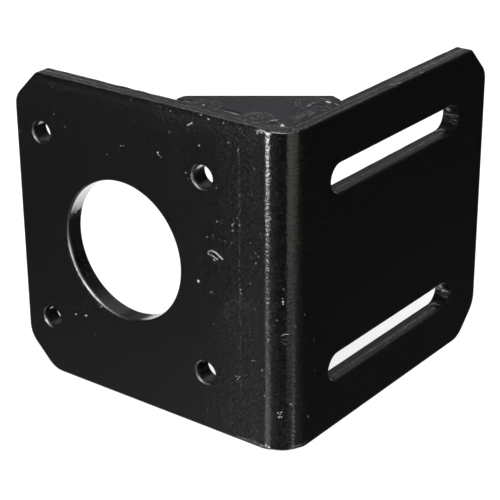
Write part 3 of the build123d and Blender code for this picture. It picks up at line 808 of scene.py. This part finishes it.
def joint_strip(x0, x1):
    """Weld metal that fills the joint between two spots and slopes towards the outer face."""
    def height(u, v):
        ends = smooth(u, x0, x0 + 0.35) * smooth(-u, -x1, -x1 + 0.35)
        h = 0.075 - 0.28 * (3.74 - v) + 0.006 * fbm(u / 0.6, v / 0.5, 411)
        h = np.where(v > 3.74, 0.075 - 0.9 * (v - 3.74), h)
        return h - 0.16 * (1 - ends)

    return bead(x0, x1, 2.72, 3.98, Z_TOP, height)


def corner_bead(u, v):
    """The lumpy seam along the slotted plate."""
    ends = smooth(v, 4.4, 5.4) * smooth(-v, -10.4, -9.4)
    lump = 0.75 + 0.45 * fbm(u / 0.9, v / 0.9, 431, 2)
    h = 0.085 * lump * np.exp(-np.abs((u - 27.15) / 1.0) ** 3) + 0.012 * fbm(u / 0.4, v / 0.4, 433, 2)
    inner = smooth(u, 25.9, 26.5) * smooth(-u, -28.7, -28.0)
    return h * ends * inner - 0.06 * (1 - ends * inner)


parts = [puddle(x, y, r, Z_TOP, 1, 0.035, lambda a, b, k=i: weld_relief(a, b, 200 + 10 * k, 0.016), 200 + 10 * i) for i, (x, y, r) in enumerate(SPOTS)]
parts += [joint_strip(9.45, 11.95), joint_strip(15.9, 20.5), bead(25.9, 28.7, 4.4, 10.4, Z_TOP, corner_bead, 0.1)]
welds_up = join("weld_spots_upper", parts, weld_painted_highlights)
welds_low = join(
    "weld_spots_lower",
    [puddle(x, y, r, Z_BOT, -1, 0.0, ring_relief(x, y, r, 300 + i), 300 + 10 * i) for i, (x, y, r) in enumerate(LOW_SPOTS)],
)

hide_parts("folded_bracket")
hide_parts("top_gusset")
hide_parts("bottom_gusset")
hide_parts("top_weld_spots")
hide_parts("bottom_weld_spots")
pieces = [sheet, gusset_up, gusset_low, welds_up, welds_low]
for piece in pieces:
    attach(piece, "root")


# ---- node helpers ----
class Tree:
    def __init__(self, tree):
        self.t = tree
        tree.nodes.clear()

    def put(self, socket, value):
        if isinstance(value, bpy.types.NodeSocket):
            self.t.links.new(value, socket)
        elif isinstance(value, (tuple, list)) and len(value) == 3 and socket.type == "RGBA":
            socket.default_value = (*value, 1.0)
        else:
            socket.default_value = value

    def node(self, kind, **props):
        n = self.t.nodes.new(kind)
        for k, v in props.items():
            setattr(n, k, v)
        return n

    def math(self, op, a, b=None, c=None, clamp=False):
        n = self.node("ShaderNodeMath", operation=op, use_clamp=clamp)
        self.put(n.inputs[0], a)
        if b is not None:
            self.put(n.inputs[1], b)
        if c is not None:
            self.put(n.inputs[2], c)
        return n.outputs[0]

    def add(self, a, b):
        return self.math("ADD", a, b)

    def mul(self, a, b):
        return self.math("MULTIPLY", a, b)

    def remap(self, x, a, b, lo=0.0, hi=1.0, kind="SMOOTHSTEP"):
        n = self.node("ShaderNodeMapRange", interpolation_type=kind, clamp=True)
        for i, v in enumerate((x, a, b, lo, hi)):
            self.put(n.inputs[i], v)
        return n.outputs[0]

    def window(self, x, a, b, soft):
        """1 between a and b, 0 outside, with soft edges."""
        up = self.remap(x, a - soft, a + soft)
        down = self.remap(x, b - soft, b + soft, 1.0, 0.0)
        return self.mul(up, down)

    def noise(self, vec, scale, detail=2.0, rough=0.5, distortion=0.0):
        n = self.node("ShaderNodeTexNoise")
        self.put(n.inputs["Vector"], vec)
        self.put(n.inputs["Scale"], scale)
        self.put(n.inputs["Detail"], detail)
        self.put(n.inputs["Roughness"], rough)
        self.put(n.inputs["Distortion"], distortion)
        return n.outputs["Fac"]

    def mapping(self, vec, scale=(1, 1, 1), loc=(0, 0, 0), rot=(0, 0, 0)):
        n = self.node("ShaderNodeMapping")
        self.put(n.inputs["Vector"], vec)
        n.inputs["Location"].default_value = loc
        n.inputs["Rotation"].default_value = rot
        n.inputs["Scale"].default_value = scale
        return n.outputs[0]

    def mixf(self, fac, a, b):
        n = self.node("ShaderNodeMix", data_type="FLOAT")
        self.put(n.inputs[0], fac)
        self.put(n.inputs[2], a)
        self.put(n.inputs[3], b)
        return n.outputs[0]

    def mixc(self, fac, a, b):
        n = self.node("ShaderNodeMix", data_type="RGBA")
        self.put(n.inputs[0], fac)
        self.put(n.inputs[6], a)
        self.put(n.inputs[7], b)
        return n.outputs[2]

    def attr(self, name):
        return self.node("ShaderNodeAttribute", attribute_type="GEOMETRY", attribute_name=name)

    def xyz(self, vec):
        n = self.node("ShaderNodeSeparateXYZ")
        self.put(n.inputs[0], vec)
        return n.outputs


# ---- paint ----
def paint(name, seed, base=(0.0010, 0.0010, 0.0011), rough=0.115, peel=1.0, grain_amount=0.25):
    m = bpy.data.materials.new(name)
    m.use_nodes = True
    t = Tree(m.node_tree)
    out = t.node("ShaderNodeOutputMaterial")
    p = t.node("ShaderNodeBsdfPrincipled")
    t.t.links.new(p.outputs[0], out.inputs["Surface"])
    p.inputs["IOR"].default_value = 1.5
    p.inputs["Metallic"].default_value = 0.0
    co = t.node("ShaderNodeTexCoord").outputs["Object"]
    co = t.mapping(co, (1000, 1000, 1000), (seed * 3.7, seed * 1.3, 0))
    # colour: barely uneven black, with pale specks and painted highlights and glints
    tint = t.noise(co, 0.35, 3.0)
    black = t.mixc(tint, tuple(0.75 * x for x in base), tuple(1.35 * x for x in base))
    speck = t.attr("speck").outputs["Fac"]
    # fine grain, stronger on the motor plate and most beside the fold
    flat = t.xyz(t.attr("flat_uv").outputs["Vector"])
    u_flat, v_flat = flat[0], flat[1]
    near = t.mul(t.window(u_flat, 18.5, 26.0, 2.5), t.add(0.85, t.remap(v_flat, 8.0, -4.0, 0.0, 0.15)))
    zone = t.add(t.remap(u_flat, 26.0, 34.0, 1.0, 0.45), near)
    grain = t.math("MAXIMUM", t.math("SUBTRACT", t.noise(co, 4.2, 2.0, 0.6), 0.60), 0.0)
    grain = t.mul(grain, t.mul(zone, grain_amount * 0.5))
    even = t.math("MAXIMUM", t.math("SUBTRACT", t.noise(co, 3.4, 2.0, 0.6), 0.50), 0.0)
    level = t.add(t.add(t.remap(u_flat, 26.0, 34.0, 0.035, 0.012), t.mul(near, 0.056)), t.remap(v_flat, -10.0, -20.0, 0.0, 0.012))
    grain = t.add(grain, t.mul(even, level))
    # soft blotches a few tenths across
    blotch = t.math("MAXIMUM", t.math("SUBTRACT", t.noise(co, 1.5, 3.0, 0.65), 0.46), 0.0)
    grain = t.add(grain, t.mul(blotch, t.remap(u_flat, 26.0, 34.0, 0.020, 0.009)))
    if peel == 1.0:
        # ridges of a finger mark, a dotted line beside the fold, and a painted sheen: a paler band under the upper edge
        du, dv = t.math("SUBTRACT", u_flat, 22.3), t.math("ADD", v_flat, 4.3)
        far = t.math("SQRT", t.add(t.mul(du, du), t.mul(dv, dv)))
        ridges = t.math("SINE", t.mul(t.add(far, t.mul(t.noise(co, 0.45, 1.0), 1.2)), 19.0))
        ridges = t.mul(t.math("MAXIMUM", ridges, 0.0), t.mul(t.remap(far, 2.6, 4.2, 1.0, 0.0), t.mul(t.math("LESS_THAN", u_flat, 25.6), t.remap(t.math("SUBTRACT", dv, t.mul(du, 0.6)), -0.6, 0.6, 0.25, 1.0))))
        grain = t.add(grain, t.mul(t.mul(ridges, t.math("MAXIMUM", t.math("SUBTRACT", t.noise(co, 0.8, 2.0, 0.6), 0.38), 0.0)), 0.085))
        dotted = t.math("MAXIMUM", t.math("SUBTRACT", t.noise(co, 2.2, 2.0, 0.6), 0.44), 0.0)
        grain = t.add(grain, t.mul(t.mul(dotted, t.window(u_flat, 21.85, 22.15, 0.2)), t.mul(t.window(v_flat, -18.0, 22.5, 2.0), 0.11)))
        # painted sheen along the band under the upper edge
        sheen_band = t.mul(t.window(v_flat, 23.35, 24.1, 0.45), t.window(u_flat, -15.0, 25.0, 2.5))
        sheen_band = t.mul(sheen_band, t.add(0.3, t.mul(t.noise(co, 0.35, 2.0), 1.4)))
        grain = t.add(grain, t.mul(sheen_band, 0.0035))
        dust = t.math("MAXIMUM", t.math("SUBTRACT", t.noise(co, 2.6, 3.0, 0.6), 0.50), 0.0)
        grain = t.add(grain, t.mul(dust, t.mul(t.mul(t.window(v_flat, 21.5, 24.5, 2.0), t.window(u_flat, 7.0, 25.8, 3.0)), 0.10)))
    cut = t.attr("cut_edge").outputs["Fac"]
    run = t.attr("run").outputs["Vector"]
    across, loop = t.xyz(run)[1], t.xyz(run)[2]
    streak = t.noise(t.mapping(run, (0.45, 2.6, 1.0)), 1.0, 3.0, 0.6)
    slant = t.noise(t.mapping(run, (1.3, 4.2, 1.0), rot=(0, 0, 0.5)), 1.0, 3.0, 0.6)
    hole = t.math("LESS_THAN", t.math("ABSOLUTE", t.math("SUBTRACT", loop, 3.0)), 2.5)
    # sheared edges: narrow lengthwise bands of paler colour, part thinner paint and part painted highlight where the
    # rounded and stepped edge catches light; none in the round holes and slot ends
    slot_end = t.mul(t.math("GREATER_THAN", loop, 5.5), t.math("SUBTRACT", 1.0, t.window(u_flat, 41.5, 70.8, 0.5)))
    plain = t.mul(t.math("SUBTRACT", 1.0, hole), t.math("SUBTRACT", 1.0, slot_end))
    mid = t.add(across, t.remap(u_flat, 32.0, 60.0, 0.0, 0.2))
    outline = t.math("LESS_THAN", t.math("ABSOLUTE", loop), 0.5)
    # the painted highlight is stronger at the motor plate's free end and towards the slotted plate's free end
    more = t.add(t.remap(u_flat, -14.0, 3.0, 1.15, 0.0), t.mul(t.remap(u_flat, 50.0, 66.0, 0.0, 0.85), t.mixf(outline, 0.7, 1.0)))
    sheen_and_thinner_paint_bands = t.add(t.mul(t.window(across, 0.45, 0.68, 0.15), 0.016), t.mul(t.window(across, 0.8, 1.15, 0.2), 0.008))
    # painted highlight on the outline's outer rounding, fading towards the slotted plate
    rim_sheen_painted = t.mul(outline, t.remap(u_flat, 24.0, 34.0, 0.027, 0.014))
    sheen_and_thinner_paint_bands = t.add(sheen_and_thinner_paint_bands, t.mul(t.window(across, 0.28, 0.74, 0.12), rim_sheen_painted))
    sheen_and_thinner_paint_bands = t.add(sheen_and_thinner_paint_bands, t.add(t.mul(t.window(mid, 1.28, 1.60, 0.18), t.add(0.036, t.mul(more, 0.016))), t.mul(t.window(mid, 1.6, 1.9, 0.15), t.add(0.008, t.mul(more, 0.012)))))
    sheen_and_thinner_paint_bands = t.add(sheen_and_thinner_paint_bands, t.mul(t.mul(t.window(across, 0.9, 1.9, 0.2), more), 0.007))
    uneven = t.math("MAXIMUM", t.add(t.mul(t.math("SUBTRACT", streak, 0.5), 4.5), t.add(0.95, t.mul(t.math("SUBTRACT", slant, 0.5), 2.5))), 0.0)
    flecks = t.mul(t.math("MAXIMUM", t.math("SUBTRACT", slant, 0.60), 0.0), 0.16)
    patches = t.noise(t.mapping(run, (1.0, 1.5, 1.0), (3.1, 7.7, 0.0)), 1.0, 3.0, 0.6)
    flecks = t.add(flecks, t.mul(t.math("MAXIMUM", t.math("SUBTRACT", patches, 0.52), 0.0), 0.12))
    grain = t.add(grain, t.mul(t.add(t.mul(sheen_and_thinner_paint_bands, uneven), flecks), t.mul(cut, plain)))
    if peel != 1.0:
        # a bluish cast that fades towards the sheared long edge
        where = t.xyz(co)
        from_long = t.math("SUBTRACT", t.mul(t.math("ADD", where[0], -8.25), 0.732), t.math("ADD", where[1], -5.0))
        blue = t.mul(t.remap(from_long, 1.6, 4.2, 0.0, 1.0), t.math("GREATER_THAN", where[2], 20.0))
        blue = t.mul(blue, t.remap(where[1], 4.6, 6.4, 0.25, 1.0))
        black = t.mixc(blue, black, (0.0010, 0.0014, 0.0046))
        mottle = t.math("MAXIMUM", t.math("SUBTRACT", t.noise(t.mapping(co, (1.0, 1.6, 1.0), rot=(0, 0, 0.65)), 1.1, 3.0, 0.6), 0.48), 0.0)
        grain = t.add(grain, t.mul(mottle, 0.05))
    gcol = t.node("ShaderNodeCombineColor")
    for i in range(3):
        t.put(gcol.inputs[i], grain)
    plus = t.node("ShaderNodeMix", data_type="RGBA", blend_type="ADD")
    plus.inputs[0].default_value = 1.0
    t.put(plus.inputs[6], black)
    t.put(plus.inputs[7], gcol.outputs[0])
    # the pale specks, painted highlights and painted glints are mixed over the black here
    t.put(p.inputs["Base Color"], t.mixc(speck, plus.outputs[2], (0.62, 0.62, 0.60)))
    # gloss
    cloud = t.noise(co, 0.22, 3.0)
    fine = t.noise(co, 2.6, 2.0)
    r = t.add(t.mul(cloud, 0.05), t.mul(fine, 0.04))
    r = t.add(t.add(r, rough - 0.045), t.mul(cut, t.mixf(hole, 0.07, -0.01)))
    r = t.add(r, t.mul(speck, 0.35))
    t.put(p.inputs["Roughness"], r)
    # orange peel and streaks of the cut edges, heights in mm
    peel_h = t.add(t.mul(t.noise(co, 1.1, 2.0, 0.55), 0.018 * peel), t.mul(t.noise(co, 2.5, 2.0, 0.6), 0.030 * peel))
    grit = t.noise(t.mapping(run, (2.4, 4.0, 1.0)), 1.0, 2.0, 0.5)
    edge_h = t.mul(t.add(t.mul(streak, 0.030), t.add(t.mul(grit, 0.018), t.mul(slant, 0.024))), t.mixf(hole, 1.0, 0.2))
    # fine cross lines drawn over the fold
    drawn_h = t.mul(t.noise(t.mapping(t.attr("flat_uv").outputs["Vector"], (0.9, 4.5, 1.0)), 1.0, 1.0), t.mul(t.window(u_flat, 25.3, 33.5, 1.0), 0.012 if peel == 1.0 else 0.0))
    off_fold = t.math("SUBTRACT", 1.0, t.window(u_flat, 25.0, 34.0, 1.5))
    peel_h = t.add(peel_h, t.mul(t.mul(t.noise(co, 0.9, 2.0, 0.5), off_fold), 0.030 if peel == 1.0 else 0.0))
    h = t.add(t.add(peel_h, drawn_h), t.mul(edge_h, cut))
    b = t.node("ShaderNodeBump")
    b.inputs["Strength"].default_value = 1.0
    b.inputs["Distance"].default_value = MM
    t.put(b.inputs["Height"], h)
    t.put(p.inputs["Normal"], b.outputs[0])
    return m


for i, piece in enumerate(pieces):
    piece.data.materials.clear()
    piece.data.materials.append(paint("black_paint_" + piece.name, i, peel=1.0 if i == 0 else 1.4))

# ---- floor ----
fm = bpy.data.materials.new("studio_floor")
fm.use_nodes = True
t = Tree(fm.node_tree)
out = t.node("ShaderNodeOutputMaterial")
p = t.node("ShaderNodeBsdfPrincipled")
t.t.links.new(p.outputs[0], out.inputs["Surface"])
p.inputs["Base Color"].default_value = (0.30, 0.30, 0.30, 1)
p.inputs["Roughness"].default_value = 0.9
p.inputs["Specular IOR Level"].default_value = 0.0
p.inputs["Emission Color"].default_value = (1, 1, 1, 1)
p.inputs["Emission Strength"].default_value = 0.80
bpy.ops.mesh.primitive_grid_add(x_subdivisions=4, y_subdivisions=4, size=6.0, location=(0, 0, (Z_BOT - 0.06) * MM))
floor = bpy.context.object
floor.name = "floor"
floor.data.materials.append(fm)
floor.visible_glossy = False

# ---- studio surroundings, as soft bands of light by direction ----
world = bpy.data.worlds.new("studio")
bpy.context.scene.world = world
world.use_nodes = True
t = Tree(world.node_tree)
out = t.node("ShaderNodeOutputWorld")
bg = t.node("ShaderNodeBackground")
t.t.links.new(bg.outputs[0], out.inputs["Surface"])
d = t.xyz(t.node("ShaderNodeTexCoord").outputs["Generated"])
deg = 180 / math.pi
AZ = t.mul(t.math("ARCTAN2", d[0], t.mul(d[1], -1.0)), deg)  # 0 is towards -Y, 90 towards +X
AZ360 = t.math("MODULO", t.add(AZ, 360.0), 360.0)
EL = t.mul(t.math("ARCSINE", d[2]), deg)
low = t.remap(EL, -4.0, 6.0, 1.0, 0.0)
high = t.remap(EL, -4.0, 6.0, 0.0, 1.0)


def band(var, a, b, soft, strength, colour=(1, 1, 1), el=None):
    w = t.mul(t.window(var, a, b, soft), strength)
    if el is not None:
        w = t.mul(w, el)
    n = t.node("ShaderNodeVectorMath", operation="SCALE")
    n.inputs[0].default_value = colour
    t.put(n.inputs["Scale"], w)
    return n.outputs[0]


parts = []
# what the motor plate mirrors: dim, lighter further down and further right
side = t.add(t.remap(EL, -31.0, -21.0, 0.415, 0.10, "LINEAR"), t.remap(EL, -20.8, -16.5, 0.0, 0.25))
side = t.mul(side, t.remap(AZ, -46.0, -37.0, 0.37, 0.63, "LINEAR"))
side = t.mul(side, t.remap(EL, -15.0, -9.0, 1.0, 0.12))
parts.append(band(AZ, -80.0, -24.0, 2.0, side, (1, 1, 1), low))
# narrow strip mirrored in the fold, brighter towards the horizon
strip = t.mul(t.remap(EL, -21.0, -18.5, 0.0, 30.0), t.remap(EL, -11.0, -7.0, 1.0, 0.42))
strip = t.add(t.add(strip, t.remap(EL, -28.0, -24.8, 1.2, 0.38)), t.remap(EL, -30.0, -27.6, 1.1, 0.0))
wide = t.add(AZ, t.remap(EL, -26.0, -22.5, 5.5, 0.0))
wide = t.mixf(t.math("GREATER_THAN", AZ, -18.0), wide, t.math("SUBTRACT", AZ, t.remap(EL, -31.0, -30.0, 4.0, 0.0)))
parts.append(band(wide, -26.2, -14.2, 2.0, strip, (1, 1, 1), t.remap(EL, 12.0, 22.0, 1.0, 0.0)))
parts.append(band(AZ, -13.0, 54.0, 2.0, t.add(t.remap(AZ, -10.0, 32.0, 0.24, 0.035), t.remap(EL, -31.0, -29.0, 0.2, 0.0)), (1, 1, 0.95), low))
# broad dim panel mirrored further round the fold, cut on a slant
edge_at = t.add(t.remap(EL, -24.7, -20.7, 76.5, 96.5, "LINEAR"), t.add(t.remap(EL, -28.3, -26.0, -4.5, 0.0, "LINEAR"), t.remap(EL, -30.6, -29.9, 16.0, 0.0)))
past = t.remap(t.math("SUBTRACT", AZ, edge_at), -2.0, 2.0)
panel = t.mul(t.remap(AZ, 56.0, 100.0, 1.35, 0.8, "LINEAR"), t.remap(EL, -29.0, -20.7, 0.50, 1.0, "LINEAR"))
panel = t.mul(t.mul(panel, t.math("SUBTRACT", 1.0, past)), t.mul(t.remap(EL, -30.6, -30.1, 7.0, 1.0), t.remap(EL, -28.5, -25.5, 0.78, 1.0)))
starts = t.math("SUBTRACT", AZ, t.remap(EL, -30.5, -29.0, 23.0, 0.0, "LINEAR"))
panel = t.mul(panel, t.remap(starts, 53.5, 55.5, 0.0, 1.0))
parts.append(band(AZ, 50.0, 120.0, 2.0, panel, (1, 1, 0.88), low))
tail = t.mul(t.remap(AZ, 84.0, 130.0, 0.17, 0.033), t.mul(past, t.remap(EL, -24.0, -20.7, 1.0, 0.55)))
tail = t.add(tail, t.mul(t.mul(past, t.remap(AZ, 100.0, 150.0, 1.0, 0.0)), t.remap(EL, -31.0, -27.0, 0.10, 0.0)))
parts.append(band(AZ, 56.0, 166.0, 1.5, tail, (1, 1, 1), low))
glow = t.remap(AZ360, 178.0, 222.0, 4.0, 1.5, "LINEAR")
glow_from = t.add(159.0, t.remap(EL, -41.0, -28.0, 0.0, 50.0, "LINEAR"))
glow = t.mul(glow, t.remap(t.math("SUBTRACT", AZ360, glow_from), -1.0, 1.0))
parts.append(band(AZ360, 150.0, 236.0, 1.0, glow, (0.97, 0.99, 1.0), low))
parts.append(band(AZ360, 236.0, 280.0, 6.0, 0.30, (1, 1, 1), low))
# above the horizon: dim and warm low down, bluish higher
warm = t.remap(EL, 16.2, 18.8, 1.0, 0.0)
parts.append(band(AZ360, 168.0, 280.0, 22.0, t.mul(t.remap(EL, 4.0, 14.0, 0.04, 0.20), warm), (1.0, 0.99, 0.88), high))
cool = t.mul(t.remap(AZ360, 209.0, 217.0, 0.60, 1.0), t.remap(EL, 23.0, 28.0, 1.0, 0.66))
cool = t.mul(t.mixf(t.remap(EL, 19.5, 21.0, 0.0, 1.0), 1.0, cool), 0.26)
parts.append(band(AZ360, 168.0, 280.0, 18.0, t.mul(cool, t.math("SUBTRACT", 1.0, warm)), (0.88, 0.90, 1.0), high))
parts.append(band(AZ360, 168.0, 280.0, 18.0, t.remap(EL, 30.0, 38.0, 0.0, 0.50), (1.0, 1.0, 0.90), t.mul(high, t.remap(AZ360, 219.0, 226.0, 1.0, 0.0))))
parts.append(band(AZ360, 112.0, 168.0, 12.0, 0.10, (1, 1, 1), high))
parts.append(band(AZ, -100.0, 110.0, 14.0, 0.05, (1, 1, 1), high))
# wide soft panel above the camera
parts.append(band(AZ, -24.0, 84.0, 8.0, 2.6, (1, 1, 1), t.mul(t.remap(EL, 14.0, 50.0, 0.0, 1.0), t.remap(EL, 70.0, 76.0, 1.0, 0.0))))
acc = parts[0]
for q in parts[1:]:
    n = t.node("ShaderNodeVectorMath", operation="ADD")
    t.put(n.inputs[0], acc)
    t.put(n.inputs[1], q)
    acc = n.outputs[0]
t.put(bg.inputs["Color"], acc)
bg.inputs["Strength"].default_value = 1.0
world.cycles.sampling_method = "NONE"

# soft key
key = bpy.data.lights.new("key", "SUN")
key.energy = 7.0 * math.pi * math.sin(math.radians(20)) ** 2
key.angle = math.radians(40)
key_obj = bpy.data.objects.new("key", key)
bpy.context.scene.collection.objects.link(key_obj)
ka, ke = math.radians(35), math.radians(50)
kd = Vector((math.sin(ka) * math.cos(ke), -math.cos(ka) * math.cos(ke), math.sin(ke)))
key_obj.rotation_euler = kd.to_track_quat("Z", "Y").to_euler()

# ---- camera ----
az, el, roll, dist = 0.65264566, 0.42071554, -0.00654826, 229.85633
target = Vector((23.88118, 0.0, 6.58244))
fw = -Vector((math.sin(az) * math.cos(el), -math.cos(az) * math.cos(el), math.sin(el)))
rt = fw.cross(Vector((0, 0, 1))).normalized()
up = rt.cross(fw)
rt2 = math.cos(roll) * rt + math.sin(roll) * up
up2 = -math.sin(roll) * rt + math.cos(roll) * up
pos = target - fw * dist
cam_data = bpy.data.cameras.new("camera")
cam_data.sensor_width = 36.0
cam_data.lens = 1648.507 * 36.0 / 500.0
cam_data.clip_start, cam_data.clip_end = 0.01, 20.0
cam = bpy.data.objects.new("camera", cam_data)
bpy.context.scene.collection.objects.link(cam)
m = Matrix.Identity(4)
for i in range(3):
    m[i][0], m[i][1], m[i][2], m[i][3] = rt2[i], up2[i], -fw[i], pos[i] * MM
cam.matrix_world = m
bpy.context.scene.camera = cam
bpy.context.scene.view_settings.view_transform = "Standard"
bpy.context.scene.view_settings.look = "None"
